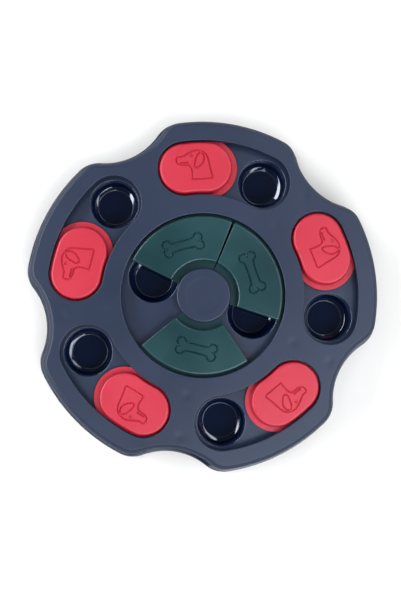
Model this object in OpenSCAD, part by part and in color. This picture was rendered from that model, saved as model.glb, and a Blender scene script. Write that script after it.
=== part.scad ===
// Dog puzzle feeder: a scalloped two-shell housing with five cup slots, each
// with a sliding lid, and a centre ring of wedge lids that run round a hub.
// Origin: on the table, on the axis that every lid turns about. +Z is up, and
// +Y points at the first lobe.

/* [Outline] */
// Angle of the middle of the first lobe
lobe_turn = 80.3; // [72:0.1:90]
// Radius of the lobes, measured at the tray's lip
outer_r = 125; // [120:0.5:134]
// How far each scallop cuts in from the lobe radius
scallop_depth = 13.7; // [10:0.1:14.5]
// Radius of the hollow of each scallop
scallop_r = 46; // [40:1:56]
// Radius of the corner between a lobe and a scallop
corner_r = 20; // [18:0.5:22]

/* [Heights] */
// How far the pads hold the tray off the table
foot_stand = 1.2; // [0.8:0.1:2]
// Thickness of the lip that the cover stands on
lip_h = 3; // [2.4:0.1:4]
// Height of the deck's top face above the table
deck_h = 20; // [18:0.5:24]
// Height of the track that the lids' flanges run in
track_h = 2.8; // [2.4:0.1:3.4]
// Height of the cover's top face above the deck
cover_rise = 8; // [7:0.5:11]

/* [Shells] */
// Wall of the tray
tray_t = 2.2; // [1.8:0.1:2.6]
// Wall of the cover
cover_t = 2.4; // [1.8:0.1:2.8]
// Rounding of the cover's outer shoulder
shoulder_r = 4; // [3.5:0.5:5]
// Rounding of the round window and of the rims of the cups and hub cap
edge_r = 1.2; // [0.8:0.1:1.4]
// How far the lip stands out past the cover
lip_step = 4.5; // [4:0.1:5]
// Gap between the cover's skirt and the tray's wall
fit_gap = 0.4; // [0.2:0.1:0.8]
// Running gap above and below a lid's flange
run_gap = 0.3; // [0.2:0.05:0.4]

/* [Slots] */
// How far the slots' centre line lies in from the lobe radius
slot_in = 36.7; // [35.5:0.1:38]
// Width of each slot's window in the cover
slot_w = 37.4; // [37:0.1:38]
// Angle from a lobe's middle to the centre of a slot's rounded end
slot_reach = 18.1; // [17.5:0.1:18.5]
// Thickness of the collar below each window
collar_t = 2; // [1.6:0.1:2.4]
// Radius of an outer cup at its rim
cup_r = 16.3; // [14:0.1:16.8]
// Rounding between a cup's wall and its floor
cup_fillet = 5; // [3:0.5:7]
// Draft of the cups' walls, in degrees
cup_draft = 4; // [2:0.5:6]

/* [Sliding lids] */
// Gap between a lid's raised block and each side of its slot
slide_play = 1.3; // [0.8:0.1:2]
// Angle from a lid's middle to the centre of its rounded end
slide_reach = 5.1; // [3.5:0.1:6]
// How far the flange stands out round the block
slide_rim = 3.6; // [3:0.2:4.2]
// How far a lid's top stands above the cover
slide_proud = 0.8; // [0:0.1:2]
// Wall of a lid
lid_t = 2; // [1.6:0.1:2.4]
// Rounding of a lid's top edge
lid_edge_r = 1.6; // [1:0.1:2]

/* [Centre ring] */
// Width of the bridge between the slots and the round window
bridge_w = 13.3; // [12:0.1:15]
// How far a centre cup's rim stays off the window's and the hub cap's edge
centre_cup_margin = 1.85; // [1.6:0.05:3]
// How far the centre cups lie in from the middle of the ring between hub cap and window
centre_cup_shift = 0.95; // [0:0.05:1.2]
// Angle of the first centre cup
centre_cup_turn = -20; // [-45:1:45]
// Radius of the hub cap
hub_r = 18.6; // [18:0.2:20]
// How far the hub cap overhangs its post
hub_overhang = 5.2; // [4.6:0.1:6]
// How far the hub cap stands above the cover
hub_proud = 0.6; // [0:0.1:1.5]
// Angle that one wedge lid covers
wedge_span = 86.4; // [80:0.2:88]
// Gap between the hub cap and a wedge lid's raised block
hub_gap = 6; // [4:0.2:8]
// Gap between a wedge lid's raised block and the round window
window_gap = 1.7; // [1.4:0.1:3]
// How far a wedge's outer flange stands out past its block
wedge_rim = 4; // [3:0.2:4.6]
// How far a wedge lid's top stands above the cover
wedge_proud = 0.8; // [0:0.1:2]

/* [Screws and pads] */
// Radius of a screw's shank
screw_r = 1.5; // [1.3:0.1:1.8]
// Radius of a screw's head
screw_head_r = 2.9; // [2.6:0.1:3.1]
// Height of a screw's head
screw_head_h = 1.9; // [1.6:0.1:2.4]
// How far a screw bites into its boss
screw_bite = 5.6; // [4.5:0.1:6]
// Wall of a boss or well round a screw
boss_t = 1.9; // [1.6:0.1:2.2]
// How far the inner screws lie out from the round window
inner_screw_out = 13; // [12.6:0.1:15]
// How far the outer screws lie in from the hollow of a scallop
outer_screw_in = 13.8; // [13.3:0.1:15]
// Radius of a rubber pad
foot_r = 9; // [7:0.5:10]
// Depth of the recess that holds a pad
foot_recess = 0.8; // [0.5:0.1:1.2]
// Thickness of a rib under the deck
rib_t = 1.8; // [1.4:0.1:2.4]
// Height of a rib under the deck
rib_h = 9; // [6:0.5:12]
// How far the ring rib lies out from the round window
ring_rib_out = 4.7; // [4:0.1:5]

/* [Hidden] */
$fn = 96;

lobes = 5;
centre_cups = 4;
cut = 1;                                  // how far a cutter runs past what it cuts
join = 1;                                 // how far two solids of one piece run into each other
stop_gap = 1;                             // gap between a lid and the end of its slot
post_gap = 0.8;                           // gap between the wedges and the post
pad_gap = 0.1;                            // gap round a pad in its recess
screw_gap = 0.05;                         // gap round a shank in its boss
wedge_1_at = 24.2;                        // where the wedge lids stand at rest
wedge_gap = 0.5;
wedge_2_at = wedge_1_at + wedge_span + wedge_gap;
wedge_3_at = 261.4;

// Rings, from the outline inwards
slide_w = slot_w - 2 * slide_play;        // width of a sliding lid's raised block
slot_r = outer_r - slot_in;               // the slots' centre line
window_r = slot_r - slot_w / 2 - bridge_w;
wedge_out_r = window_r - window_gap;
wedge_in_r = hub_r + hub_gap;
post_r = hub_r - hub_overhang;
centre_cup_r = (window_r - hub_r) / 2 - centre_cup_margin;
centre_cup_ring = (window_r + hub_r) / 2 - centre_cup_shift;
inner_screw_ring = window_r + inner_screw_out;
outer_screw_ring = outer_r - scallop_depth - outer_screw_in;
ring_rib_r = window_r + ring_rib_out;

// Heights
cover_h = deck_h + cover_rise;            // the cover's top face
seat_z = foot_stand + lip_h;              // the cover stands on the lip here
deck_z = deck_h - tray_t;                 // underside of the deck
track_z = deck_h + track_h;               // underside of the collars
flange_z0 = deck_h + run_gap;
flange_z1 = track_z - run_gap;
roof_z = cover_h - cover_t;               // underside of the cover's top
cup_floor_z = foot_stand + tray_t;

// Insets of the walls from the lip's edge
skirt_in = lip_step + cover_t;            // inner face of the cover's skirt
wall_out = skirt_in + fit_gap;            // outer face of the tray's wall
wall_in = wall_out + tray_t;

// The outline is a chain of tangent arcs, the same for each lobe. Seen from the
// middle of a lobe, a corner arc starts at lobe_half and ends at corner_end.
pitch = 360 / lobes;
bulge = 0.05;                             // how far each arc swells past the next, so that they cross cleanly
corner_ring = outer_r - corner_r + bulge;
scallop_ring = outer_r - scallop_depth + scallop_r;
corner_apart = acos((corner_ring ^ 2 + scallop_ring ^ 2 - (corner_r + scallop_r - bulge) ^ 2)
                    / (2 * corner_ring * scallop_ring));
lobe_half = pitch / 2 - corner_apart;
function polar(r, a) = [r * cos(a), r * sin(a)];
corner_c = polar(corner_ring, lobe_half);
scallop_c = polar(scallop_ring, pitch / 2);
corner_end = atan2(scallop_c[1] - corner_c[1], scallop_c[0] - corner_c[0]);
corner_turn = corner_end - lobe_half;
corner_reach = 9;                         // how far a corner's cutter stands out past the corner

function lobe_at(k) = lobe_turn + pitch * k;
function web_at(k) = lobe_at(k) + pitch / 2;
function cup_at(i) = lobe_at(floor(i / 2)) + (i % 2 == 0 ? slot_reach : -slot_reach);

// Slides: where the raised block's end centre comes to rest, seen from the lobe's middle
slide_stop = slot_reach + (slot_w / 2 - slide_w / 2 - stop_gap) / slot_r * 180 / PI;
slide_at = slide_stop - slide_reach;

// ---- Shapes that run round the scalloped outline. A section is drawn from the
// outline's edge, with x as [$at + $way * inset], so that one section serves the
// outside of a bend and the inside of the next.

module with_edge(at, way) {
    $at = at;
    $way = way;
    children();
}

// A point of a section: d in from the edge, z up
function sec(d, z) = [$at + $way * d, z];

// Everything inside the outline: a turned blank, less a turned cutter for each
// scallop, which both carry the rounding of the top edge, and less a straight
// cutter for each corner
module scalloped(z0, z1, inset, round_r = 0)
    difference() {
        difference() {
            rotate_extrude() with_edge(outer_r, -1) blank_section(z0, z1, inset, round_r);
            for (k = [0 : lobes - 1]) rotate(lobe_at(k)) translate(scallop_c)
                rotate_extrude() with_edge(scallop_r, 1) cutter_section(z0, z1, inset, round_r, 0);
        }
        for (k = [0 : lobes - 1], side = [-1, 1]) rotate(lobe_at(k))
            translate([corner_c[0], side * corner_c[1]])
            rotate(side > 0 ? lobe_half : -corner_end) rotate_extrude(angle = corner_turn)
            with_edge(corner_r, -1) cutter_section(z0, z1, inset, 0, corner_r + corner_reach);
    }

// The inside of an edge with a rounded top
module blank_section(z0, z1, inset, round_r) {
    polygon([[0, z0], sec(inset, z0), sec(inset, z1 - round_r), sec(inset + round_r, z1 - round_r),
             sec(inset + round_r, z1), [0, z1]]);
    if (round_r > 0) disc_section(inset + round_r, z1 - round_r, round_r);
}

// The outside of the same edge, as far as x
module cutter_section(z0, z1, inset, round_r, x)
    difference() {
        polygon([[x, z0 - cut], sec(inset, z0 - cut), sec(inset, z1 - round_r), sec(inset + round_r, z1 - round_r),
                 sec(inset + round_r, z1 + cut), [x, z1 + cut]]);
        if (round_r > 0) disc_section(inset + round_r, z1 - round_r, round_r);
    }

// ---- Kidneys. Each follows the slots' centre line for `reach` degrees each way
// from its middle, and has rounded ends.

module kidney(w, reach) {
    intersection() {
        difference() {
            circle(r = slot_r + w);
            circle(r = slot_r - w);
        }
        polygon([[0, 0], polar(2 * slot_r, -reach), polar(2 * slot_r, reach)]);
    }
    for (side = [-1, 1]) translate(polar(slot_r, side * reach)) circle(r = w + bulge);
}

module kidney_block(w, reach, z0, z1) translate([0, 0, z0]) linear_extrude(z1 - z0) kidney(w, reach);

// The same outline as points, counter-clockwise
function kidney_points(w, reach) =
    let (sides = 3, ends = 16)
    concat([for (i = [0 : sides]) polar(slot_r + w, reach * (2 * i / sides - 1))],
           [for (i = [1 : ends - 1]) polar(slot_r, reach) + polar(w, reach + 180 * i / ends)],
           [for (i = [0 : sides]) polar(slot_r - w, reach * (1 - 2 * i / sides))],
           [for (i = [1 : ends - 1]) polar(slot_r, -reach) + polar(w, 180 - reach + 180 * i / ends)]);

// A kidney block with a rounded top edge
module rounded_kidney(w, reach, z0, z1, r) {
    levels = concat([[0, z0]], [for (a = [0 : 30 : 90]) [r * (1 - cos(a)), z1 - r + r * sin(a)]]);
    n = len(kidney_points(w, reach));
    top = n * (len(levels) - 1);
    polyhedron(points = [for (level = levels, p = kidney_points(w - level[0], reach)) [p[0], p[1], level[1]]],
               faces = concat([[for (i = [0 : n - 1]) i]],
                              [[for (i = [n - 1 : -1 : 0]) top + i]],
                              [for (j = [0 : len(levels) - 2], i = [0 : n - 1])
                                  let (a = j * n + i, b = j * n + (i + 1) % n) [a, a + n, b + n, b]]));
}

// ---- Sections

module box_section(d0, d1, z0, z1)
    polygon([sec(d0, z0), sec(d1, z0), sec(d1, z1), sec(d0, z1)]);

module disc_section(d, z, r)
    translate(sec(d, z)) circle(r = r);

// A section that starts on the axis, with a rounded top edge
module block_section(w, z0, z1, r) {
    box_section(0, w, z0, z1 - r);
    box_section(0, w - r, z1 - r, z1);
    disc_section(w - r, z1 - r, r);
}

// Cuts a window of radius w through a face at z1, and rounds the face's edge
module window_section(w, z0, z1) {
    box_section(0, w, z0, z1 - edge_r);
    difference() {
        box_section(0, w + edge_r, z1 - edge_r, z1 + cut);
        disc_section(w + edge_r, z1 - edge_r, edge_r);
    }
}

// ---- Cups. A cup's wall leans in by cup_draft and ends in a fillet.

function cup_wall_r(r, z) = r - (deck_h - z) * tan(cup_draft);

// The centre of the fillet at a cup's floor, as far as it stands from the cup's axis
cup_foot_z = cup_floor_z + cup_fillet;
function cup_fillet_d(r) =
    cup_wall_r(r, cup_foot_z - cup_fillet * sin(cup_draft)) - cup_fillet * cos(cup_draft);

// The outside of a cup: the same wall all the way down, with a chamfer round the fillet
module cup_shell(r) rotate_extrude() {
    outer_fillet = cup_fillet + tray_t;
    chamfer = outer_fillet * tan(22.5);
    polygon([[0, cup_floor_z - tray_t],
             [cup_fillet_d(r) + chamfer, cup_floor_z - tray_t],
             [cup_wall_r(r, cup_foot_z - chamfer) + tray_t / cos(cup_draft), cup_foot_z - chamfer],
             [cup_wall_r(r, deck_z + join) + tray_t / cos(cup_draft), deck_z + join],
             [0, deck_z + join]]);
}

module cup_hollow(r) rotate_extrude() {
    difference() {
        union() {
            polygon([[0, cup_floor_z],
                     [cup_fillet_d(r), cup_floor_z],
                     [cup_fillet_d(r), cup_foot_z],
                     [cup_fillet_d(r) + cup_fillet * cos(cup_draft), cup_foot_z - cup_fillet * sin(cup_draft)],
                     [cup_wall_r(r, deck_h + cut), deck_h + cut],
                     [0, deck_h + cut]]);
            translate([cup_fillet_d(r), cup_foot_z]) circle(r = cup_fillet);
        }
        translate([-2 * r, 0]) square([2 * r, deck_h]);
    }
    with_edge(0, 1) difference() {
        box_section(0, r + edge_r, deck_h - edge_r, deck_h + cut);
        disc_section(r + edge_r, deck_h - edge_r, edge_r);
    }
}

module at_outer_cups()
    for (i = [0 : 2 * lobes - 1]) translate(polar(slot_r, cup_at(i))) children();

module at_centre_cups()
    for (i = [0 : centre_cups - 1])
        translate(polar(centre_cup_ring, centre_cup_turn + 360 / centre_cups * i)) children();

module at_pads()
    for (k = [0 : lobes - 1]) translate(polar(slot_r, cup_at(2 * k))) children();

module at_screws(ring)
    for (k = [0 : lobes - 1]) translate(polar(ring, web_at(k))) children();

// ---- Screws

module screw(seat, reach) {
    translate([0, 0, seat - screw_head_h]) cylinder(r = screw_head_r, h = screw_head_h);
    translate([0, 0, seat - join]) cylinder(r = screw_r, h = reach + join);
}

cover_screw_reach = tray_t + screw_bite;
hub_screw_reach = tray_t + screw_bite - join;
head_gap = 0.5;                           // gap round a screw's head in its well
well_r = screw_head_r + head_gap;
well_stand = 1;                           // how far the wells stay off the lip's underside

// ---- The tray

module ribs() {
    translate([0, 0, deck_z - rib_h]) {
        difference() {
            cylinder(r = ring_rib_r + rib_t, h = rib_h + join);
            translate([0, 0, -cut]) cylinder(r = ring_rib_r, h = rib_h + join + 2 * cut);
        }
        for (k = [0 : lobes - 1]) {
            rotate(web_at(k)) translate([ring_rib_r + join / 2, -rib_t / 2])
                cube([outer_r - scallop_depth - wall_in + tray_t / 2 - ring_rib_r, rib_t, rib_h + join]);
            rotate(lobe_at(k)) translate([ring_rib_r + join / 2, -rib_t / 2])
                cube([outer_r - wall_in + tray_t / 2 - ring_rib_r, rib_t, rib_h + join]);
        }
    }
}

module well(top)
    translate([0, 0, foot_stand + well_stand]) cylinder(r = well_r + boss_t, h = top - foot_stand - well_stand + join);

module base_tray() color("#16213c") difference() {
    union() {
        difference() {
            union() {
                scalloped(foot_stand, seat_z, 0);
                scalloped(seat_z - join, deck_h, wall_out);
            }
            scalloped(foot_stand - cut, deck_z, wall_in);
        }
        at_outer_cups() cup_shell(cup_r);
        at_centre_cups() cup_shell(centre_cup_r);
        ribs();
        at_screws(inner_screw_ring) well(deck_z);
        at_screws(outer_screw_ring) well(deck_z);
        difference() {
            translate([0, 0, deck_z]) cylinder(r = post_r, h = track_z - deck_z);
            translate([0, 0, deck_z - cut]) cylinder(r = post_r - tray_t, h = track_z - tray_t - deck_z + cut);
        }
        well(track_z - tray_t);
    }
    at_outer_cups() cup_hollow(cup_r);
    at_centre_cups() cup_hollow(centre_cup_r);
    at_pads() translate([0, 0, foot_stand - cut]) cylinder(r = foot_r + pad_gap, h = foot_recess + cut);
    for (ring = [inner_screw_ring, outer_screw_ring]) at_screws(ring) {
        cylinder(r = well_r, h = deck_z);
        cylinder(r = screw_r + 4 * screw_gap, h = deck_h + cut);
    }
    cylinder(r = well_r, h = track_z - tray_t);
    cylinder(r = screw_r + 4 * screw_gap, h = track_z + cut);
}

// ---- The cover

module collars() {
    for (k = [0 : lobes - 1]) rotate(lobe_at(k))
        kidney_block(slot_w / 2 + collar_t, slot_reach, track_z, roof_z + join);
    translate([0, 0, track_z]) cylinder(r = window_r + collar_t, h = roof_z + join - track_z);
}

module cover_bosses(ring)
    at_screws(ring) translate([0, 0, deck_h]) cylinder(r = screw_r + boss_t, h = roof_z - deck_h + join);

module top_cover() color("#454e68") difference() {
    union() {
        difference() {
            scalloped(seat_z, cover_h, lip_step, shoulder_r);
            scalloped(seat_z - cut, roof_z, skirt_in, shoulder_r - cover_t);
        }
        collars();
        cover_bosses(inner_screw_ring);
        cover_bosses(outer_screw_ring);
    }
    for (k = [0 : lobes - 1]) rotate(lobe_at(k))
        kidney_block(slot_w / 2, slot_reach, track_z - cut, cover_h + cut);
    rotate_extrude() with_edge(0, 1) window_section(window_r, track_z - cut, cover_h);
    for (ring = [inner_screw_ring, outer_screw_ring]) at_screws(ring)
        translate([0, 0, deck_h - cut]) cylinder(r = screw_r + screw_gap, h = screw_bite + 0.4 + cut);
}

// ---- The hub cap

module hub_cap() color("#454e68") {
    top = cover_h + hub_proud;
    ceiling = top - cover_t;
    seat_t = 2.2;
    rotate_extrude() with_edge(0, 1) difference() {
        block_section(hub_r, track_z, top, edge_r);
        box_section(post_r, hub_r - cover_t, track_z - cut, ceiling);
        box_section(screw_r + boss_t, post_r - seat_t, track_z - cut, ceiling);
        box_section(-cut, screw_r + screw_gap, track_z - cut, track_z + screw_bite - join + 0.4);
    }
}

// ---- The lids

module slide_lid() color("#d94358") {
    top = cover_h + slide_proud;
    difference() {
        union() {
            kidney_block(slide_w / 2 + slide_rim, slide_reach, flange_z0, flange_z1);
            rounded_kidney(slide_w / 2, slide_reach, flange_z1 - join, top, lid_edge_r);
        }
        kidney_block(slide_w / 2 - lid_t, slide_reach, flange_z0 - cut, top - lid_t);
    }
}

module wedge_lid() color("#2f5c58") {
    top = cover_h + wedge_proud;
    bore_r = post_r + post_gap;
    end_turn = lid_t / ((wedge_in_r + wedge_out_r) / 2) * 180 / PI;
    rotate(-wedge_span / 2) difference() {
        rotate_extrude(angle = wedge_span) {
            translate([bore_r, flange_z0])
                square([wedge_out_r + wedge_rim - bore_r, flange_z1 - flange_z0]);
            translate([wedge_in_r, flange_z1 - join])
                square([wedge_out_r - wedge_in_r, top - lid_edge_r - flange_z1 + join]);
            translate([wedge_in_r + lid_edge_r, top - 2 * lid_edge_r])
                square([wedge_out_r - wedge_in_r - 2 * lid_edge_r, 2 * lid_edge_r]);
            for (r = [wedge_in_r + lid_edge_r, wedge_out_r - lid_edge_r])
                translate([r, top - lid_edge_r]) circle(r = lid_edge_r);
        }
        rotate(end_turn) rotate_extrude(angle = wedge_span - 2 * end_turn)
            translate([wedge_in_r + lid_t, flange_z0 - cut])
            square([wedge_out_r - wedge_in_r - 2 * lid_t, top - lid_t - flange_z0 + cut]);
    }
}

// ---- Rubber pads

module foot() color("#1b1c1f") rotate_extrude() {
    pad_edge_r = 0.5;
    translate([0, pad_edge_r]) square([foot_r, foot_stand + foot_recess - pad_edge_r]);
    square([foot_r - pad_edge_r, pad_edge_r]);
    translate([foot_r - pad_edge_r, pad_edge_r]) circle(r = pad_edge_r);
}

base_tray();
top_cover();
hub_cap();
for (k = [1 : lobes]) {
    rotate(lobe_at(k - 1) + slide_at) slide_lid();
    translate(polar(slot_r, cup_at(2 * (k - 1)))) foot();
}
rotate(wedge_1_at) wedge_lid();  // wedge_1
rotate(wedge_2_at) wedge_lid();  // wedge_2
rotate(wedge_3_at) wedge_lid();  // wedge_3
color("silver") at_screws(inner_screw_ring) screw(deck_z, cover_screw_reach);  // inner_screws
color("silver") at_screws(outer_screw_ring) screw(deck_z, cover_screw_reach);  // outer_screws
color("silver") screw(track_z - tray_t, hub_screw_reach);  // hub_screw
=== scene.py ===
import bpy, bmesh, math
import numpy as np
from mathutils import Matrix, Vector


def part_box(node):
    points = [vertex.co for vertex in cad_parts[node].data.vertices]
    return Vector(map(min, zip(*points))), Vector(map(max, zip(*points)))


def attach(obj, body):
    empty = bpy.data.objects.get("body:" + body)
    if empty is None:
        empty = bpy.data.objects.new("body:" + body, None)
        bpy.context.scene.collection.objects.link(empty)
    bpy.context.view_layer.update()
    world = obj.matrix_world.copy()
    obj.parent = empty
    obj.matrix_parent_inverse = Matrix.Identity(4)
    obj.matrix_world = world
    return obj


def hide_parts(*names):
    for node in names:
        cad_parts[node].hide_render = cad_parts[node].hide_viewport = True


# Dog puzzle feeder: looks for a two-shell housing, five sliding lids and three wedge lids.
# Lengths are in millimetres and angles in degrees, and a mesh is turned to metres when it is made.

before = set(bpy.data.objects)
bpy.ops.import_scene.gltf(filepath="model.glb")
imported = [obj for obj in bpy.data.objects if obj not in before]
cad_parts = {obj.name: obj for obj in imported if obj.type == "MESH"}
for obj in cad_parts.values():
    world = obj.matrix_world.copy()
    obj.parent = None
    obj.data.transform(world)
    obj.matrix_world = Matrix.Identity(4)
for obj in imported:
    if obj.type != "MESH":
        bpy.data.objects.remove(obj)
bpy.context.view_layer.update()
print("frame loaded:", len(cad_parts), "nodes")

deg = math.pi / 180


def level(node, end):
    # height of a node's lowest face (end 0) or highest face (end 1)
    return round(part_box(node)[end][2] * 1000, 2)


# What the pieces share: the ring that the slots, outer cups and slides lie on, the deck, the track above it
# that the lids' flanges run in, and the rings of screws.
shared = {"ring": 88.3, "cupReach": 18.1, "deck": 20.0, "trackTop": level("base_tray", 1),
          "lipTop": level("top_cover", 0), "lidLow": level("slide_1", 0), "flangeTop": 22.5,
          "lidTop": level("slide_1", 1), "lidWall": 2.0, "postR": 13.4,
          "innerScrews": 69.3, "outerScrews": 97.5}
outline = {"lobes": 5, "lobeTurn": 80.3, "outerR": 125, "scallopDepth": 13.7, "scallopR": 46, "cornerR": 20}
welding = {"mergeMm": 0.002, "sharpAngle": 32}


def polar(radius, angle):
    # x and y of a point at a radius and an angle
    return np.stack([radius * np.cos(angle * deg), radius * np.sin(angle * deg)], -1)


def steps(low, high, count):
    return np.linspace(low, high, count)


def around(count):
    # angles of a full turn, without the one that closes it
    return steps(0, 360, count + 1)[:-1]


def quarter(count):
    # angles in radians from 0 to a right angle, for a rounded edge
    return np.linspace(0, math.pi / 2, count)


def roundedMouth(wall, face, radius, count):
    # a quarter round from a level face down into the wall of a hole
    return [(wall + radius * (1 - math.sin(a)), face - radius * (1 - math.cos(a))) for a in quarter(count)]


def roundedRim(wall, face, radius, count):
    # a quarter round from a level face down the outside of a wall, without the face's own point
    turns = quarter(count)[1:]
    return [(wall - radius * (1 - math.sin(a)), face - radius * (1 - math.cos(a))) for a in turns]


def roundedFoot(wall, face, radius, count):
    # a quarter round from a wall into the level face under it
    return [(wall + radius * (1 - math.cos(a)), face + radius * (1 - math.sin(a))) for a in quarter(count)]


def arcCurve(arcs, perArc=6):
    # Arcs of a radius between two tilts, each tangent to the next: a point lies at the radius times the
    # change of sine across and times the change of cosine up or down. Starts at nought.
    across, rise = [0.0], [0.0]
    for radius, start, end in arcs:
        a = np.linspace(start, end, perArc + 1)[1:] * deg
        across += list(across[-1] + radius * (np.sin(a) - math.sin(start * deg)))
        rise += list(rise[-1] + radius * (math.cos(start * deg) - np.cos(a)))
    return np.array(across), np.array(rise)


def weldPatches(name, patches, body, material, replaced):
    # Each patch is a grid of points, rows by columns, whose last column may join its first.
    # The patches meet point on point, so merging their doubles closes the piece.
    points, quads, start = [], [], 0
    for grid, wraps in patches:
        grid = np.asarray(grid, float)
        rows, columns = grid.shape[:2]
        index = start + np.arange(rows * columns).reshape(rows, columns)
        if wraps:
            index = np.concatenate([index, index[:, :1]], 1)
        corners = index[:-1, :-1], index[:-1, 1:], index[1:, 1:], index[1:, :-1]
        quads.append(np.stack(corners, -1).reshape(-1, 4))
        points.append(grid.reshape(-1, 3))
        start += rows * columns
    points, quads = np.concatenate(points) / 1000, np.concatenate(quads)
    mesh = bpy.data.meshes.new(name)
    mesh.from_pydata(points.tolist(), [], quads.tolist())
    work = bmesh.new()
    work.from_mesh(mesh)
    bmesh.ops.remove_doubles(work, verts=work.verts, dist=welding["mergeMm"] / 1000)
    bmesh.ops.recalc_face_normals(work, faces=work.faces)
    work.to_mesh(mesh)
    work.free()
    mesh.polygons.foreach_set("use_smooth", np.ones(len(mesh.polygons), bool))
    mesh.set_sharp_from_angle(angle=welding["sharpAngle"] * deg)
    mesh.materials.append(material)
    edgeOfCorner = np.empty(len(mesh.loops), np.int32)
    mesh.loops.foreach_get("edge_index", edgeOfCorner)
    openEdges = int((np.bincount(edgeOfCorner) != 2).sum())
    piece = bpy.data.objects.new(name, mesh)
    bpy.context.scene.collection.objects.link(piece)
    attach(piece, body)
    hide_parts(replaced)
    print(name, len(mesh.polygons), "faces", openEdges, "open edges")


def spin(profile, angles):
    # a profile of radius and height turned about the axis: rows follow the profile, columns the turn
    profile = np.asarray(profile, float)
    ring = polar(1, np.asarray(angles))
    flat = profile[:, None, :1] * ring[None]
    return np.concatenate([flat, np.repeat(profile[:, None, 1:], len(ring), 1)], -1)


def liftLoop(loop, height):
    # a flat loop of points at one height
    return np.concatenate([loop, np.full((len(loop), 1), float(height))], 1)


pitch = 360 / outline["lobes"]
cornerRing = outline["outerR"] - outline["cornerR"]
scallopRing = outline["outerR"] - outline["scallopDepth"] + outline["scallopR"]
cornerApart = math.acos((cornerRing**2 + scallopRing**2 - (outline["cornerR"] + outline["scallopR"])**2)
                        / (2 * cornerRing * scallopRing)) / deg
lobeHalf = pitch / 2 - cornerApart
cornerCentre, scallopCentre = polar(cornerRing, lobeHalf), polar(scallopRing, pitch / 2)
cornerEnd = math.atan2(*(scallopCentre - cornerCentre)[::-1])


def lobeAt(k):
    return outline["lobeTurn"] + pitch * k


def webAt(k):
    return lobeAt(k) + pitch / 2


def outlineRadius(angle, inset):
    # Distance from the axis to the outline moved in by inset. The angle is folded onto half a lobe. There the
    # outline is the lobe's circle, then the corner's, then the scallop's, each met by the ray from the axis:
    # the centre's distance times the cosine, plus or minus the root of what its radius leaves of the sine.
    fold = np.abs((angle - outline["lobeTurn"] + pitch / 2) % pitch - pitch / 2)
    cornerR, scallopR = outline["cornerR"] - inset, outline["scallopR"] + inset
    meeting = cornerCentre + cornerR * np.array([math.cos(cornerEnd), math.sin(cornerEnd)])
    meetingAngle = math.atan2(meeting[1], meeting[0]) / deg
    off = (fold - lobeHalf) * deg
    corner = cornerRing * np.cos(off) + np.sqrt(np.maximum(cornerR**2 - (cornerRing * np.sin(off))**2, 0))
    off = (pitch / 2 - fold) * deg
    scallop = scallopRing * np.cos(off) - np.sqrt(np.maximum(scallopR**2 - (scallopRing * np.sin(off))**2, 0))
    inner = np.where(fold <= meetingAngle, corner, scallop)
    return np.where(fold <= lobeHalf, outline["outerR"] - inset, inner)


def outlineLoop(angles, inset):
    return polar(outlineRadius(angles, inset), angles)


def skirt(angles, section):
    # a section of inset and height carried round the outline
    return np.stack([liftLoop(outlineLoop(angles, inset), height) for inset, height in section])


def kidneyHalves(ringR, reach, width, arcCount, endCount):
    # The two halves of a kidney's loop about angle 0, each from its clockwise to its counter-clockwise tip.
    # A tip is where a ray from the axis only touches the loop. Kept as arc angle and end angle, so that a
    # wider or narrower loop has its points in the same directions. Without a reach it is a round hole.
    tip = 90 + math.asin(width / ringR) / deg
    arc = steps(-reach, reach, arcCount)[1:-1]
    outer = [(-reach, -a) for a in steps(tip, 0, endCount)] + [(a, 0) for a in arc]
    outer += [(reach, a) for a in steps(0, tip, endCount)]
    inner = [(-reach, a) for a in steps(-tip, -180, endCount)] + [(a, 180) for a in arc]
    inner += [(reach, a) for a in steps(180, tip, endCount)]
    if reach == 0:
        outer.pop(endCount)
        inner.pop(endCount)
    return np.array(outer), np.array(inner)


def kidneyPoints(half, at, ringR, width):
    # a point is the arc's centre at its own angle, plus the half-width in the end's direction
    return polar(ringR, at + half[:, 0]) + polar(width, at + half[:, 0] + half[:, 1])


def holeLoop(halves, at, ringR, width):
    # the whole loop, counter-clockwise from the clockwise tip
    outer, inner = halves
    there, back = kidneyPoints(outer, at, ringR, width), kidneyPoints(inner, at, ringR, width)
    return np.concatenate([there, back[-2:0:-1]])


def holeWall(halves, at, ringR, section):
    # a section of half-width and height carried round a hole
    return np.stack([liftLoop(holeLoop(halves, at, ringR, width), height) for width, height in section])


def ringEdges(holes, ringR, halves, width, gapCount):
    # The zigzag that parts the ring: along every hole's inner or outer half, and on a circle between holes
    tipR = math.sqrt(ringR**2 - width**2)
    reach = halves[0][-1, 0] + math.asin(width / ringR) / deg
    sides = []
    for half in (1, 0):
        parts = []
        for at, after in zip(holes, holes[1:] + [holes[0] + 360]):
            parts.append(kidneyPoints(halves[half], at, ringR, width))
            parts.append(polar(tipR, steps(at + reach, after - reach, gapCount)[1:-1]))
        sides.append(np.concatenate(parts))
    return sides


def angleOf(points):
    return np.arctan2(points[:, 1], points[:, 0]) / deg


def spread(edge, far, height, shares=(0, 1)):
    # a flat band between two loops with the same number of points
    shares = np.asarray(shares)[:, None, None]
    flat = edge[None] * (1 - shares) + far[None] * shares
    return np.concatenate([flat, np.full(flat.shape[:2] + (1,), float(height))], -1)


# Where a visible band has its rows. Those close to its two edges keep the shading of the rounds off it.
bandShares = [0, 0.01, 0.12, 0.35, 0.65, 0.88, 0.99, 1]
fineShares = [0, 0.01, *np.linspace(0.05, 0.95, 22), 0.99, 1]


def colour(hexValue):
    # sRGB hex to linear: values up to 0.04045 divide by 12.92, the rest take the 2.4 power curve
    parts = np.array([int(hexValue[i:i + 2], 16) for i in (1, 3, 5)]) / 255
    linear = np.where(parts <= 0.04045, parts / 12.92, ((parts + 0.055) / 1.055)**2.4)
    return (*linear.tolist(), 1.0)


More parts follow.
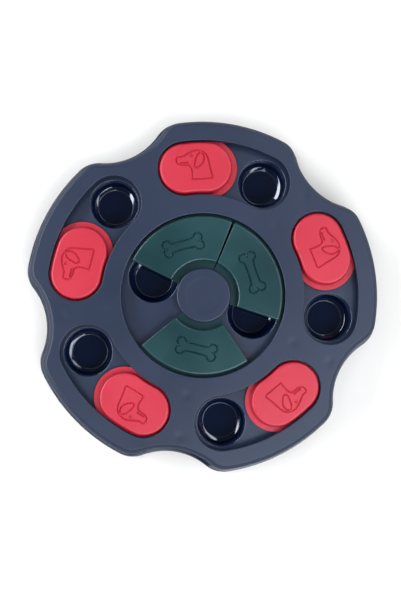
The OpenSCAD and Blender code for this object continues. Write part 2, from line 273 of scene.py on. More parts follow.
def addNode(tree, kind, settings=None, links=None):
    # settings go to the node's own fields or, by name or number, to its inputs; links join inputs to outputs
    node = tree.nodes.new(kind)
    for key, value in (settings or {}).items():
        if isinstance(key, str) and hasattr(node, key):
            setattr(node, key, value)
        else:
            node.inputs[key].default_value = value
    for key, output in (links or {}).items():
        tree.links.new(output, node.inputs[key])
    return node


# What every finish here has in common: the part of the slow noise that changes tone and gloss, how softly the
# polish ends, how deep the grain is against its width, and how far light scatters inside.
finish = {"toneFrom": 0.3, "toneTo": 0.7, "glossFrom": 0.25, "glossTo": 0.75, "polishEdge": 0.1,
          "grainDepth": 0.25, "scatter": 1.0}


def grainedFinish(name, look):
    # A fine grain, and a slow change of tone and gloss. In plastic they are the print of the tool's
    # spark-eroded face and the flow of the melt. Where the tool's cores are polished, as in the cups, the
    # face between the heights polishedFrom and polishedTo has no grain and reflects sharply, and its base
    # colour turns darker there, which is painted shade.
    material = bpy.data.materials.new(name)
    material.use_nodes = True
    tree = material.node_tree
    tree.nodes.clear()
    place = addNode(tree, "ShaderNodeTexCoord").outputs["Object"]
    flow = addNode(tree, "ShaderNodeTexNoise",
                   {"Scale": 1000 / look["flowMm"], "Detail": 2.0, "Roughness": 0.5},
                   {"Vector": place}).outputs["Fac"]
    grain = addNode(tree, "ShaderNodeTexNoise",
                    {"Scale": 1000 / look["grainMm"], "Detail": 3.0, "Roughness": 0.6},
                    {"Vector": place}).outputs["Fac"]
    tone = addNode(tree, "ShaderNodeMapRange",
                   {"From Min": finish["toneFrom"], "From Max": finish["toneTo"]},
                   {"Value": flow}).outputs["Result"]
    tint = addNode(tree, "ShaderNodeMix",
                   {"data_type": "RGBA", 6: colour(look["dark"]), 7: colour(look["light"])},
                   {"Factor": tone}).outputs[2]
    gloss = addNode(tree, "ShaderNodeMapRange",
                    {"From Min": finish["glossFrom"], "From Max": finish["glossTo"],
                     "To Min": look["rough"][0], "To Max": look["rough"][1]},
                    {"Value": flow}).outputs["Result"]
    height = grain
    if "polishedTo" in look:
        low, high, edge = look["polishedFrom"], look["polishedTo"], finish["polishEdge"]
        up = addNode(tree, "ShaderNodeSeparateXYZ", {}, {"Vector": place}).outputs["Z"]
        above = addNode(tree, "ShaderNodeMapRange",
                        {"From Min": (high - edge) / 1000, "From Max": high / 1000},
                        {"Value": up}).outputs["Result"]
        below = addNode(tree, "ShaderNodeMapRange",
                        {"From Min": low / 1000, "From Max": (low + edge) / 1000,
                         "To Min": 1.0, "To Max": 0.0}, {"Value": up}).outputs["Result"]
        satin = addNode(tree, "ShaderNodeMath", {"operation": "MAXIMUM"}, {0: above, 1: below}).outputs[0]
        # the polished zone takes a darker base colour: painted shade of the deep cups
        tint = addNode(tree, "ShaderNodeMix", {"data_type": "RGBA", 6: colour(look["polishedTone"])},
                       {"Factor": satin, 7: tint}).outputs[2]
        gloss = addNode(tree, "ShaderNodeMix", {"data_type": "FLOAT", 2: look["polishedRough"]},
                        {0: satin, 3: gloss}).outputs[0]
        height = addNode(tree, "ShaderNodeMath", {"operation": "MULTIPLY"}, {0: grain, 1: satin}).outputs[0]
    depth = look["grainMm"] * finish["grainDepth"] / 1000
    bump = addNode(tree, "ShaderNodeBump", {"Strength": look["grainStrength"], "Distance": depth},
                   {"Height": height}).outputs["Normal"]
    shader = addNode(tree, "ShaderNodeBsdfPrincipled",
                     {"IOR": look["ior"], "Metallic": look.get("metal", 0.0),
                      "Subsurface Weight": look.get("glow", 0.0),
                      "Subsurface Scale": finish["scatter"] / 1000},
                     {"Base Color": tint, "Roughness": gloss, "Normal": bump})
    addNode(tree, "ShaderNodeOutputMaterial", {}, {"Surface": shader.outputs["BSDF"]})
    return material


# ABS has an IOR of 1.54. The grain of a spark-eroded tool is near 0.1 mm, too fine to show here, so it is
# drawn 0.5 mm coarse. It gives the flat faces a satin sheen. The tray's cups are polished from just under
# their floors to just under the deck, so they mirror the lamps. There the base colour is a little darker and
# bluer, which is painted shade for the deep cups. The coral is a little translucent.
coverPlastic = grainedFinish("satinNavyAbs", {
    "dark": "#0d1b30", "light": "#101e35", "rough": (0.36, 0.44), "ior": 1.54,
    "flowMm": 60, "grainMm": 0.5, "grainStrength": 0.12})
trayPlastic = grainedFinish("navyAbs", {
    "dark": "#0d1b32", "light": "#101e37", "rough": (0.36, 0.44), "ior": 1.54,
    "flowMm": 45, "grainMm": 0.5, "grainStrength": 0.10,
    "polishedFrom": 3.2, "polishedTo": shared["deck"] - 0.02,
    # the darker tone of the polished cups is painted shade
    "polishedTone": "#0a1730", "polishedRough": 0.08})
slidePlastic = grainedFinish("satinCoralAbs", {
    "dark": "#b0182b", "light": "#b61b2f", "rough": (0.36, 0.44), "ior": 1.54, "glow": 0.12,
    "flowMm": 35, "grainMm": 0.5, "grainStrength": 0.10})
wedgePlastic = grainedFinish("satinTealAbs", {
    "dark": "#032a2c", "light": "#073536", "rough": (0.27, 0.35), "ior": 1.54,
    "flowMm": 40, "grainMm": 0.5, "grainStrength": 0.10})
# TPE has an IOR of about 1.5. A coarser, deeper grain makes the pads dull.
padRubber = grainedFinish("mattTpe", {
    "dark": "#18191b", "light": "#1f2022", "rough": (0.72, 0.82), "ior": 1.5,
    "flowMm": 12, "grainMm": 0.7, "grainStrength": 0.35})
# Zinc-plated steel, a cold grey metal at the default IOR. The plating's crystals are too fine to show, so its
# grain is drawn 0.15 mm wide, and it breaks up the reflections.
screwSteel = grainedFinish("zincPlatedSteel", {
    "dark": "#8d9094", "light": "#a9acb0", "rough": (0.28, 0.40), "ior": 1.5, "metal": 1.0,
    "flowMm": 4, "grainMm": 0.15, "grainStrength": 0.25})
print("materials made")


# The shoulder is three arcs, each a radius, a first tilt and a last tilt.
coverSize = {"top": level("top_cover", 1), "wall": 2.4, "lipStep": 4.5, "hem": 0.3, "liningR": 1.6,
             "shoulder": ((0.9, 0, 32), (14, 32, 44), (1.6, 44, 90)), "slotHalf": 18.7, "slotEdge": 0.6,
             "slotEdgePoints": 5, "windowR": 56.3, "windowEdge": 0.8, "windowEdgePoints": 7, "collar": 2.0,
             "hemPoints": 3, "liningPoints": 4, "arcCount": 44, "endCount": 22, "gapCount": 14,
             "sinkR": 2.6, "sinkDepth": 0.2}


def sunk(s, grid):
    # The plastic draws in over each screw boss: a bell curve of the distance to the boss, taken off the
    # height.
    for ring in (shared["innerScrews"], shared["outerScrews"]):
        for k in range(outline["lobes"]):
            away = np.linalg.norm(grid[..., :2] - polar(ring, webAt(k)), axis=-1)
            grid[..., 2] -= s["sinkDepth"] * np.exp(-(away / s["sinkR"])**2)
    return grid


def coverPatches(s):
    # The top and the roof's underside are bands between the slots and the outline or the window. The slot
    # walls, the window's wall and the skirt are sections carried round their loops.
    holes = [lobeAt(k) for k in range(outline["lobes"])]
    ring, half, roof, track = shared["ring"], s["slotHalf"], s["top"] - s["wall"], shared["trackTop"]
    halves = kidneyHalves(ring, shared["cupReach"], half + s["slotEdge"], s["arcCount"], s["endCount"])
    topIn, topOut = ringEdges(holes, ring, halves, half + s["slotEdge"], s["gapCount"])
    lowIn, lowOut = ringEdges(holes, ring, halves, half + s["collar"], s["gapCount"])
    inAngles, outAngles = angleOf(topIn), angleOf(topOut)
    across, drop = arcCurve(s["shoulder"])
    shoulderIn, lining = s["lipStep"] + across[-1], s["liningR"]
    liningIn = s["lipStep"] + s["wall"] + lining
    windowOut, collarR = s["windowR"] + s["windowEdge"], s["windowR"] + s["collar"]
    patches = [
        (sunk(s, spread(topOut, outlineLoop(outAngles, shoulderIn), s["top"], fineShares)), True),
        (spread(lowOut, outlineLoop(outAngles, liningIn), roof), True),
        (sunk(s, spread(topIn, polar(windowOut, inAngles), s["top"], fineShares)), True),
        (spread(lowIn, polar(collarR, inAngles), roof), True)]
    section = [(shoulderIn - x, s["top"] - z) for x, z in zip(across, drop)]
    section += roundedFoot(s["lipStep"], shared["lipTop"], s["hem"], s["hemPoints"])
    section += [(s["lipStep"] + s["wall"], shared["lipTop"])]
    section += [(liningIn - lining * math.cos(a), roof - lining * (1 - math.sin(a)))
                for a in quarter(s["liningPoints"])]
    patches.append((skirt(outAngles, section), True))
    edge = roundedMouth(s["windowR"], s["top"], s["windowEdge"], s["windowEdgePoints"])
    edge += [(s["windowR"], track), (collarR, track), (collarR, roof)]
    patches.append((spin(edge, inAngles), True))
    edge = roundedMouth(half, s["top"], s["slotEdge"], s["slotEdgePoints"])
    edge += [(half, track), (half + s["collar"], track), (half + s["collar"], roof)]
    patches += [(holeWall(halves, at, ring, edge), True) for at in holes]
    return patches


weldPatches("topCover", coverPatches(coverSize), "housing", coverPlastic, "top_cover")


# The cup's foot is three arcs as the shoulder is. The seam parts the ring of ten cups from the centre, over
# the ring rib. floorShares are the rings of the cup's floor, as shares of its radius.
traySize = {"stand": level("base_tray", 0), "wall": 2.2, "lipEdge": 0.5, "wallOut": 7.3, "deckEdge": 0.5,
            "cupR": 16.3, "cupEdge": 0.9, "draft": 4.0, "edgeClear": 0.3, "footClear": 0.4,
            "cupFoot": ((1.0, 0, 28), (44, 28, 31.5), (1.2, 31.5, 86)), "floorShares": (0.96, 0.6, 0.25, 0),
            "cupEdgePoints": 7, "wallRows": 5, "deckEdgePoints": 4, "lipEdgePoints": 5,
            "outerFillet": 5.0, "chamferAngle": 45, "padR": 9.1, "padDepth": 0.8, "seam": 61.9,
            "endCount": 22, "gapCount": 12, "centreEndCount": 30, "centreGapCount": 20,
            "centreCups": 4, "centreCupR": 17.0, "centreCupRing": 36.5, "centreCupTurn": -20,
            "wellR": 3.4, "wellWall": 1.9, "wellFoot": 2.2, "wellColumns": 40,
            "ribR": 61.0, "ribT": 1.8, "ribH": 9.0, "ribColumns": 144, "ribInDeck": 0.3, "ribInRing": 0.6}


def cupSections(s, cupR, padded):
    # Inside and outside of a cup as half-width and height, from the deck down and in to the middle. The
    # inside leans in by the draft as far as its foot, whose middle arc is nearly a straight slope. The
    # outside is one wall thickness away, with a chamfer, and a padded cup has a recess for its pad.
    tilt, floor = s["draft"] * deg, s["stand"] + s["wall"]

    def wallAt(z):
        return cupR - (shared["deck"] - z) * math.tan(tilt)

    across, up = arcCurve(s["cupFoot"])
    footTop = floor + up[-1]
    floorR = wallAt(footTop) - across[-1]
    inside = roundedMouth(cupR, shared["deck"], s["cupEdge"], s["cupEdgePoints"])
    wallTop = shared["deck"] - s["cupEdge"] - s["edgeClear"]
    inside += [(wallAt(z), z) for z in steps(wallTop, footTop + s["footClear"], s["wallRows"])]
    inside += [(floorR + x, floor + z) for x, z in zip(across[::-1], up[::-1])]
    inside += [(floorR * share, floor) for share in s["floorShares"]]
    fillet, filletTop = s["outerFillet"], floor + s["outerFillet"]
    bottomR = wallAt(filletTop - fillet * math.sin(tilt)) - fillet * math.cos(tilt)
    skin, chamfer = s["wall"] / math.cos(tilt), (fillet + s["wall"]) * math.tan(s["chamferAngle"] / 2 * deg)
    under, chamferTop = shared["deck"] - s["wall"], filletTop - chamfer
    outside = [(wallAt(under) + skin, under), (wallAt(chamferTop) + skin, chamferTop),
               (bottomR + chamfer, s["stand"])]
    if padded:
        recess = s["stand"] + s["padDepth"]
        outside += [(s["padR"], s["stand"]), (s["padR"], recess), (0, recess)]
    else:
        outside += [(bottomR / 2, s["stand"]), (0, s["stand"])]
    return inside, outside


def trayRingPatches(s):
    # Ten cups between the seam over the ring rib and the tray's wall, and the lip that the cover stands on.
    # Every second cup has a pad under it.
    holes = [lobeAt(k) + side * shared["cupReach"] for k in range(outline["lobes"]) for side in (-1, 1)]
    ring, deck, lipTop = shared["ring"], shared["deck"], shared["lipTop"]
    under, wallIn, seam = deck - s["wall"], s["wallOut"] + s["wall"], s["seam"]
    inside, outside = cupSections(s, s["cupR"], False)
    padded = cupSections(s, s["cupR"], True)[1]
    width, lowWidth = inside[0][0], outside[0][0]
    halves = kidneyHalves(ring, 0, width, 0, s["endCount"])
    topIn, topOut = ringEdges(holes, ring, halves, width, s["gapCount"])
    lowIn, lowOut = ringEdges(holes, ring, halves, lowWidth, s["gapCount"])
    inAngles, outAngles = angleOf(topIn), angleOf(topOut)
    patches = [
        (spread(topOut, outlineLoop(outAngles, s["wallOut"] + s["deckEdge"]), deck, bandShares), True),
        (spread(lowOut, outlineLoop(outAngles, wallIn), under), True),
        (spread(topIn, polar(seam, inAngles), deck, bandShares), True),
        (spread(lowIn, polar(seam, inAngles), under), True),
        (spin([(seam, deck), (seam, under)], inAngles), True)]
    section = roundedMouth(s["wallOut"], deck, s["deckEdge"], s["deckEdgePoints"]) + [(s["wallOut"], lipTop)]
    section += roundedMouth(0, lipTop, s["lipEdge"], s["lipEdgePoints"])
    section += roundedFoot(0, s["stand"], s["lipEdge"], s["lipEdgePoints"])
    section += [(wallIn, s["stand"]), (wallIn, under)]
    patches.append((skirt(outAngles, section), True))
    for k, at in enumerate(holes):
        patches.append((holeWall(halves, at, ring, inside), True))
        patches.append((holeWall(halves, at, ring, padded if k % 2 else outside), True))
    return patches


def trayCentrePatches(s):
    # four cups between the post and the seam, and the post with the well of the hub screw
    holes = [s["centreCupTurn"] + 360 / s["centreCups"] * k for k in range(s["centreCups"])]
    ring, deck, post, seam = s["centreCupRing"], shared["deck"], shared["postR"], s["seam"]
    under, postIn, wellOut = deck - s["wall"], post - s["wall"], s["wellR"] + s["wellWall"]
    top, ceiling = shared["trackTop"], shared["trackTop"] - s["wall"]
    inside, outside = cupSections(s, s["centreCupR"], False)
    width, lowWidth = inside[0][0], outside[0][0]
    halves = kidneyHalves(ring, 0, width, 0, s["centreEndCount"])
    topIn, topOut = ringEdges(holes, ring, halves, width, s["centreGapCount"])
    lowIn, lowOut = ringEdges(holes, ring, halves, lowWidth, s["centreGapCount"])
    inAngles, outAngles = angleOf(topIn), angleOf(topOut)
    well = [(postIn, under), (postIn, ceiling), (wellOut, ceiling), (wellOut, s["wellFoot"]),
            (s["wellR"], s["wellFoot"]), (s["wellR"], ceiling), (0, ceiling)]
    patches = [
        (spread(topOut, polar(seam, outAngles), deck, bandShares), True),
        (spread(lowOut, polar(seam, outAngles), under), True),
        (spin([(seam, deck), (seam, under)], outAngles), True),
        (spread(topIn, polar(post, inAngles), deck, bandShares), True),
        (spread(lowIn, polar(postIn, inAngles), under), True),
        (spin([(post, deck), (post, top), (0, top)], inAngles), True),
        (spin(well, inAngles), True)]
    for at in holes:
        patches.append((holeWall(halves, at, ring, inside), True))
        patches.append((holeWall(halves, at, ring, outside), True))
    return patches


def tube(inner, outer, low, high, columns):
    # a ring of square section, closed on itself
    return spin([(inner, low), (outer, low), (outer, high), (inner, high), (inner, low)], around(columns))


def trayRibPatches(s):
    # The ring rib, the ribs along the lobes and webs, and the screws' wells, each a closed solid of its own
    # that runs a little way into the deck. A rib is a box: a loop carried up from its middle and back to it.
    under = shared["deck"] - s["wall"]
    top, foot, inner = under + s["ribInDeck"], under - s["ribH"], s["ribR"]
    patches = [(tube(inner, inner + s["ribT"], foot, top, s["ribColumns"]), True)]
    for k in range(2 * outline["lobes"]):
        at = outline["lobeTurn"] + pitch / 2 * k
        near, far = inner + s["ribInRing"], outlineRadius(at, s["wallOut"] + s["wall"] / 2)
        out, across = polar(1, at), polar(1, at + 90) * s["ribT"] / 2
        loop = np.array([out * near - across, out * far - across, out * far + across, out * near + across])
        middle = np.repeat((out * (near + far) / 2)[None], len(loop), 0)
        box = [liftLoop(middle, foot), liftLoop(loop, foot), liftLoop(loop, top), liftLoop(middle, top)]
        patches.append((np.stack(box), True))
    for k in range(outline["lobes"]):
        for ring in (shared["innerScrews"], shared["outerScrews"]):
            well = tube(s["wellR"], s["wellR"] + s["wellWall"], s["wellFoot"], top, s["wellColumns"])
            well[..., :2] += polar(ring, webAt(k))
            patches.append((well, True))
    return patches


for name, patches in (("trayRing", trayRingPatches(traySize)), ("trayCentre", trayCentrePatches(traySize)),
                      ("trayRibs", trayRibPatches(traySize))):
    weldPatches(name, patches, "housing", trayPlastic, "base_tray")
print("shells made")


def smoothLine(points, closed, perSpan=8):
    # Catmull-Rom curve through the points: an even blend of a point and its neighbours on both sides
    points = np.asarray(points, float)
    if closed:
        before, start, end, after = (np.roll(points, shift, 0) for shift in (1, 0, -1, -2))
    else:
        start, end = points[:-1], points[1:]
        before, after = np.vstack([points[:1], start[:-1]]), np.vstack([end[1:], points[-1:]])
    t = np.linspace(0, 1, perSpan, endpoint=False)[None, :, None]
    start, end, before, after = (p[:, None] for p in (start, end, before, after))
    curve = start + 0.5 * t * (end - before + t * (2 * before - 5 * start + 4 * end - after
                                                   + t * (3 * start - before - 3 * end + after)))
    curve = curve.reshape(-1, 2)
    return np.vstack([curve, curve[:1] if closed else points[-1:]])


def lineDistance(points, line):
    # distance of every point to the nearest part of a line of straight steps
    nearest = np.full(len(points), np.inf)
    for a, b in zip(line[:-1], line[1:]):
        along = b - a
        share = np.clip((points - a) @ along / (along @ along), 0, 1)
        nearest = np.minimum(nearest, np.linalg.norm(points - a - share[:, None] * along, axis=1))
    return nearest


def groove(distance, width, depth, roundness=0.6):
    # a round-bottomed groove: deepest on the line, out to nothing at half the width
    return depth * np.clip(1 - (2 * distance / width)**2, 0, 1)**roundness


# half, foot and flange are half-widths: of the block's top, of its foot and of the flange.
slideSize = {"reach": 5.1, "half": 17.0, "foot": 17.8, "flange": 21.0, "edge": 1.7, "edgePoints": 9,
             "atFromLobe": 13.195, "arcCount": 64, "endCount": 84, "rows": 56,
             "grooveW": 1.05, "grooveDepth": 0.9}
# A dog's head from the side. x runs counter-clockwise along the ring and y outwards.
dogHead = {"face": [(2.8, -8.4), (2.5, -5.8), (2.8, -1.7), (3.5, 0.3), (4.9, 1.5), (7.4, 1.7), (9.7, 1.9),
                    (11.7, 2.6), (12.8, 3.7), (13.0, 5.2), (12.8, 6.6), (11.8, 7.5), (9.3, 7.5),
                    (7.3, 8.3), (5.6, 9.3), (3.4, 10.4), (1.1, 11.3), (-1.1, 11.6), (-3.8, 11.1),
                    (-6.2, 10.0), (-7.9, 8.2), (-8.9, 5.3), (-9.7, 0.5), (-10.6, -4.2), (-11.3, -7.3)],
           "neck": [(-11.3, -7.3), (-10.4, -8.3), (2.8, -8.4)],
           "ear": [(-4.0, 10.4), (-2.8, 9.2), (-1.2, 7.7), (-0.1, 4.6), (0.7, 1.8), (0.3, 0.1), (-0.8, -0.5),
                   (-2.6, 0.3), (-4.7, 2.4), (-6.1, 5.2), (-6.1, 7.6), (-5.1, 9.3)],
           "mouth": [(10.2, 3.4), (7.6, 3.2), (5.0, 3.3)], "eye": (2.6, 8.1), "eyeR": 0.55}


def dogGroove(s, points):
    # depth of the drawing at each point: a groove along the nearest line, or round the eye
    lines = [smoothLine(dogHead["face"], False), np.array(dogHead["neck"]), smoothLine(dogHead["ear"], True),
             smoothLine(dogHead["mouth"], False)]
    nearest = np.minimum.reduce([lineDistance(points, line) for line in lines])
    eye = np.maximum(np.linalg.norm(points - np.array(dogHead["eye"]), axis=1) - dogHead["eyeR"], 0)
    return groove(np.minimum(nearest, eye), s["grooveW"], s["grooveDepth"])


def slidePoints(s):
    # One loop grows from the spine out over the top, round the edge and down the flange, and shrinks back
    # inside.
    low, flangeTop, top, wall = shared["lidLow"], shared["flangeTop"], shared["lidTop"], shared["lidWall"]
    flat, inner, ceiling = s["half"] - s["edge"], s["half"] - wall, top - wall
    section = [(w, top) for w in steps(0, flat, s["rows"])]
    section += roundedRim(s["half"], top, s["edge"], s["edgePoints"])
    section += [(s["foot"], flangeTop), (s["flange"], flangeTop), (s["flange"], low), (inner, low),
                (inner, ceiling), (0, ceiling)]
    halves = kidneyHalves(shared["ring"], s["reach"], flat, s["arcCount"], s["endCount"])
    grid = holeWall(halves, 0, shared["ring"], section)
    face = grid[:s["rows"]]
    local = np.stack([face[..., 1], face[..., 0] - shared["ring"]], -1).reshape(-1, 2)
    face[..., 2] -= dogGroove(s, local).reshape(face.shape[:2])
    return grid


def turned(grid, angle):
    # a grid turned about the axis
    c, n = math.cos(angle * deg), math.sin(angle * deg)
    x, y, z = grid[..., 0], grid[..., 1], grid[..., 2]
    return np.stack([x * c - y * n, x * n + y * c, z], -1)


slideGrid = slidePoints(slideSize)
for k in range(outline["lobes"]):
    weldPatches(f"slideLid{k + 1}", [(turned(slideGrid, lobeAt(k) + slideSize["atFromLobe"]), True)],
                f"slide_lid_{k + 1}", slidePlastic, f"slide_{k + 1}")
print("slides made")


wedgeSize = {"span": 85.3, "at": (24.2, 111.1, 261.4), "bore": 14.2, "flangeOut": 58.6, "inR": 23.8,
             "outR": 54.6, "edge": 1.6, "archPoints": 8, "endEdge": 1.1, "endInset": 0.8, "endColumns": 4,
             "baseStep": 0.12, "basePoints": 12, "rows": 92, "columns": 210, "grooveW": 1.15,
             "grooveDepth": 1.1, "topWithin": 0.02}
boneSize = {"ring": 37.0, "along": 1.0, "turn": -6.5, "length": 27.8, "knobR": 2.95, "knobApart": 5.6,
            "shaft": 5.6, "flare": 0.7, "blend": 0.8}


def boneEdge(b, points):
    # Distance to a bone's outline, inside negative: the least of four knobs and a shaft that widens with the
    # square of the way out. A blend, the quadratic smooth minimum, softens the inner corners.
    inner, outer = b["length"] / 2 - b["knobR"], b["knobApart"] / 2
    x, y = np.abs(points[..., 0]), np.abs(points[..., 1])
    knob = np.hypot(x - inner, y - outer) - b["knobR"]
    shaft = np.maximum(x - inner, y - b["shaft"] / 2 - b["flare"] * (x / inner)**2)
    share = np.clip(0.5 + 0.5 * (shaft - knob) / b["blend"], 0, 1)
    return shaft * (1 - share) + knob * share - b["blend"] * share * (1 - share)


def boneGroove(s, b, at, points):
    # depth of the bone's drawing at each point, in a frame of its own with x along the bone
    way = (at + b["along"] + 90 + b["turn"]) * deg
    away = points - polar(b["ring"], at + b["along"])
    local = np.stack([away @ np.array([math.cos(way), math.sin(way)]),
                      away @ np.array([-math.sin(way), math.cos(way)])], -1)
    return groove(np.abs(boneEdge(b, local)), s["grooveW"], s["grooveDepth"])


def wedgeStations(s):
    # Angles of the columns from the wedge's middle, and how far the arch draws in at each. The arch stays
    # whole up to the end's edge, and there it draws in as a quarter circle does.
    straight = s["span"] / 2 - s["endEdge"]
    ends = straight + s["endEdge"] * np.cos(quarter(s["endColumns"] + 1))[:-1]
    stations = np.concatenate([-ends, steps(-straight, straight, s["columns"]), ends[::-1]])
    reach = np.clip((np.abs(stations) - straight) / s["endEdge"], 0, 1)
    return stations, s["endInset"] * (1 - np.sqrt(1 - reach**2))


def wedgeArch(s, inset):
    # The block's section: up its inner wall, over the top and down its outer wall, as a centre and a
    # direction from it, so that the inset only shortens the direction. Gives radius and height.
    left, right, high = s["inR"] + s["edge"], s["outR"] - s["edge"], shared["lidTop"] - s["edge"]
    arc, flat, base = quarter(s["archPoints"]), s["rows"] - 2, [shared["flangeTop"]]
    centreR = np.concatenate([np.full(len(arc) + 1, left), steps(left, right, s["rows"])[1:-1],
                              np.full(len(arc) + 1, right)])
    centreZ = np.concatenate([base, np.full(2 * len(arc) + flat, high), base])
    wayR = np.concatenate([[-1], -np.cos(arc), np.zeros(flat), np.cos(arc)[::-1], [1]])
    wayZ = np.concatenate([[0], np.sin(arc), np.ones(flat), np.sin(arc)[::-1], [0]])
    size = (s["edge"] - inset)[None]
    return centreR[:, None] + wayR[:, None] * size, centreZ[:, None] + wayZ[:, None] * size


def rimLoop(radii, angles):
    # the loop round a sector's rim: in at the first radius, out along the last angle, and back
    return np.concatenate([polar(radii[0], angles), polar(radii, angles[-1])[1:],
                           polar(radii[-1], angles[::-1])[1:], polar(radii[::-1], angles[0])[1:-1]])


def wedgePatches(s, at):
    low, flangeTop, wall = shared["lidLow"], shared["flangeTop"], shared["lidWall"]
    stations, inset = wedgeStations(s)
    archR, archZ = wedgeArch(s, inset)
    rowOf = np.ones((1, len(stations)))
    radius = np.concatenate([rowOf * s["bore"], rowOf * s["bore"], archR, rowOf * s["flangeOut"],
                             rowOf * s["flangeOut"]])
    height = np.concatenate([rowOf * low, rowOf * flangeTop, archZ, rowOf * flangeTop, rowOf * low])
    grid = np.concatenate([polar(radius, at + stations), height[..., None]], -1)
    bone = boneGroove(s, boneSize, at, grid[..., :2])
    grid[..., 2] -= np.where(height > shared["lidTop"] - s["topWithin"], bone, 0)
    # each end is closed down to a straight line; the line's points keep their order where the arch is upright
    base = radius[:, 0].copy()
    apart = s["baseStep"] * np.arange(1, s["basePoints"] + 1)
    first, last = slice(3, 3 + s["basePoints"]), slice(-4, -4 - s["basePoints"], -1)
    base[first] = np.maximum(base[first], base[2] + apart)
    base[last] = np.minimum(base[last], base[-3] - apart)
    patches = [(grid, False)]
    for column in (0, -1):
        line = liftLoop(polar(base, at + stations[column]), low)
        patches.append((np.stack([grid[:, column], line]), False))
    # the pocket underneath keeps one wall from the block's sides and ends
    pocketIn, pocketOut, ceiling = s["inR"] + wall, s["outR"] - wall, shared["lidTop"] - wall
    pocketR = pocketIn + (base - base[0]) / (base[-1] - base[0]) * (pocketOut - pocketIn)
    wallTurn = wall / ((s["inR"] + s["outR"]) / 2) / deg
    pocketA = at + stations * (1 - wallTurn / (s["span"] / 2))
    outer, pocket = rimLoop(base, at + stations), rimLoop(pocketR, pocketA)
    patches.append((spread(outer, pocket, low), True))
    patches.append((np.stack([liftLoop(pocket, low), liftLoop(pocket, ceiling)]), True))
    roofR, roofA = np.meshgrid(pocketR, pocketA, indexing="ij")
    patches.append((np.concatenate([polar(roofR, roofA), np.full(roofR.shape + (1,), ceiling)], -1), False))
    return patches


for k, at in enumerate(wedgeSize["at"]):
    weldPatches(f"wedgeLid{k + 1}", wedgePatches(wedgeSize, at), f"wedge_lid_{k + 1}",
                wedgePlastic, f"wedge_{k + 1}")
print("wedges made")


hubSize = {"r": 18.6, "top": level("hub_cap", 1), "low": level("hub_cap", 0), "edge": 1.2, "edgePoints": 9,
           "wall": 2.4, "sleeveWall": 2.2, "boss": 3.4, "bore": 1.55, "boreDepth": 5,
           "dish": 0.12, "dishR": 12.0, "dishEdge": 3.0, "rows": 44, "columns": 128}


def hubPatches(s):
    # The top is a shallow dish: flat to dishR less half its soft edge, then half a cosine wave up to the rim.
    # Underneath, a sleeve stands on the tray's post and the boss takes the hub screw.
    radius = steps(0, s["r"] - s["edge"], s["rows"])
    share = np.clip((radius - s["dishR"]) / s["dishEdge"] + 0.5, 0, 1)
    profile = list(zip(radius, s["top"] - s["dish"] * 0.5 * (1 + np.cos(share * math.pi))))
    profile += roundedRim(s["r"], s["top"], s["edge"], s["edgePoints"])
    low, ceiling, boreTop = s["low"], s["top"] - s["wall"], s["low"] + s["boreDepth"]
    skirtIn, sleeveOut, sleeveIn = s["r"] - s["wall"], shared["postR"], shared["postR"] - s["sleeveWall"]
    profile += [(s["r"], low), (skirtIn, low), (skirtIn, ceiling), (sleeveOut, ceiling), (sleeveOut, low),
                (sleeveIn, low), (sleeveIn, ceiling), (s["boss"], ceiling), (s["boss"], low),
                (s["bore"], low), (s["bore"], boreTop), (0, boreTop)]
    return [(spin(profile, around(s["columns"])), True)]


weldPatches("hubCap", hubPatches(hubSize), "housing", coverPlastic, "hub_cap")


def dress(node, material):
    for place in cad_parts[node].material_slots:
        place.material = material


for k in range(outline["lobes"]):
    dress(f"foot_{k + 1}", padRubber)
for node in ("inner_screws", "outer_screws", "hub_screw"):
    dress(node, screwSteel)
print("small parts dressed")


# From here on lengths are in metres.
floorSize = {"radius": 0.5, "sides": 96, "tone": "#e6dfd4", "rough": 0.6}
# Daylight lamps: azimuth, angle from the vertical, distance, length, depth and power in watts. The low panels
# put the bright crescents in the cups' feet. The frame of four round the camera gives the satin faces their
# sheen, while the polished cup floors mirror the dark middle.
lamps = {"leftPanel": (168, 54, 1.1, 1.5, 0.18, 17.0),
         "rightPanel1": (-58, 51, 1.1, 0.85, 0.11, 3.0),
         "rightPanel2": (-6, 51, 1.1, 0.85, 0.11, 3.0),
         "rightPanel3": (46, 51, 1.1, 0.85, 0.11, 3.0),
         "topFrame1": (-58, 24.5, 1.3, 0.95, 0.32, 3.4),
         "topFrame2": (32, 24.5, 1.3, 0.95, 0.32, 2.2),
         "topFrame3": (122, 24.5, 1.3, 0.95, 0.32, 1.4),
         "topFrame4": (212, 24.5, 1.3, 0.95, 0.32, 2.0),
         "lowerLight": (-58, 31, 1.2, 1.3, 0.35, 6.0)}
daylight = "#eaf2ff"
# The room as brightness by height, where height is the sine of the angle above the level: white up to about
# 9 degrees, which draws the thin light line along rounded edges, and nearly dark from 16 degrees up.
room = {"From Min": 0.16, "From Max": 0.28, "To Min": 1.0, "To Max": 0.08}
# The tilts off straight down are in radians, and lens and sensor in millimetres.
viewpoint = {"place": (-0.02484, -0.02626, 0.650), "tiltX": -0.03636, "tiltY": 0.03659, "lens": 54.49,
             "sensor": 36, "clipStart": 0.05, "clipEnd": 20}


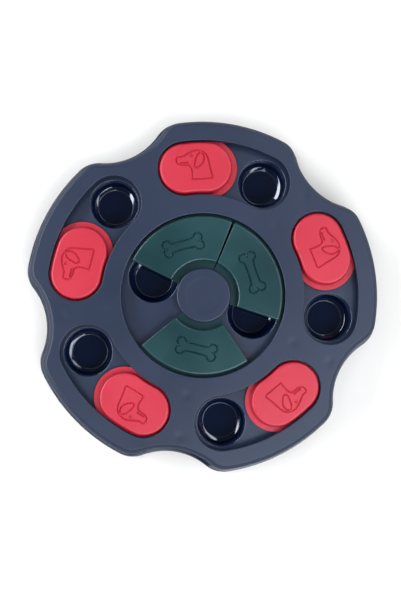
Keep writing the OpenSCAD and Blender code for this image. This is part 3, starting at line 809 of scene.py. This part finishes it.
def paleFloor(s):
    material = bpy.data.materials.new("paleFloor")
    material.use_nodes = True
    shader = material.node_tree.nodes["Principled BSDF"]
    shader.inputs["Base Color"].default_value = colour(s["tone"])
    shader.inputs["Roughness"].default_value = s["rough"]
    mesh = bpy.data.meshes.new("floor")
    mesh.from_pydata(liftLoop(polar(s["radius"], around(s["sides"])), 0).tolist(), [], [range(s["sides"])])
    mesh.materials.append(material)
    floor = bpy.data.objects.new("floor", mesh)
    bpy.context.scene.collection.objects.link(floor)
    return floor


def softBox(name, azimuth, fromVertical, distance, across, deep, power):
    # a rectangular lamp that faces the object's middle; across runs level, deep towards the zenith
    lamp = bpy.data.lights.new(name, "AREA")
    lamp.shape, lamp.size, lamp.size_y, lamp.energy = "RECTANGLE", across, deep, power
    lamp.color = colour(daylight)[:3]
    box = bpy.data.objects.new(name, lamp)
    out = math.sin(fromVertical * deg)
    away = Vector((*(out * polar(1, azimuth)), math.cos(fromVertical * deg)))
    box.matrix_world = Matrix.Translation(away * distance) @ away.to_track_quat("Z", "Y").to_matrix().to_4x4()
    bpy.context.scene.collection.objects.link(box)


paleFloor(floorSize)
for name, lamp in lamps.items():
    softBox(name, *lamp)
world = bpy.data.worlds.new("studio")
bpy.context.scene.world = world
world.use_nodes = True
way = addNode(world.node_tree, "ShaderNodeTexCoord").outputs["Generated"]
up = addNode(world.node_tree, "ShaderNodeSeparateXYZ", {}, {"Vector": way}).outputs["Z"]
glow = addNode(world.node_tree, "ShaderNodeMapRange", room, {"Value": up}).outputs["Result"]
background = world.node_tree.nodes["Background"]
background.inputs["Color"].default_value = (1, 1, 1, 1)
world.node_tree.links.new(glow, background.inputs["Strength"])
bpy.context.scene.view_settings.view_transform = "Standard"

camera = bpy.data.cameras.new("camera")
camera.sensor_fit, camera.lens = "AUTO", viewpoint["lens"]
camera.sensor_height = camera.sensor_width = viewpoint["sensor"]
camera.clip_start, camera.clip_end = viewpoint["clipStart"], viewpoint["clipEnd"]
view = bpy.data.objects.new("camera", camera)
tilt = Matrix.Rotation(viewpoint["tiltX"], 4, "X") @ Matrix.Rotation(viewpoint["tiltY"], 4, "Y")
view.matrix_world = Matrix.Translation(viewpoint["place"]) @ tilt.transposed()
bpy.context.scene.collection.objects.link(view)
bpy.context.scene.camera = view
print("studio made")
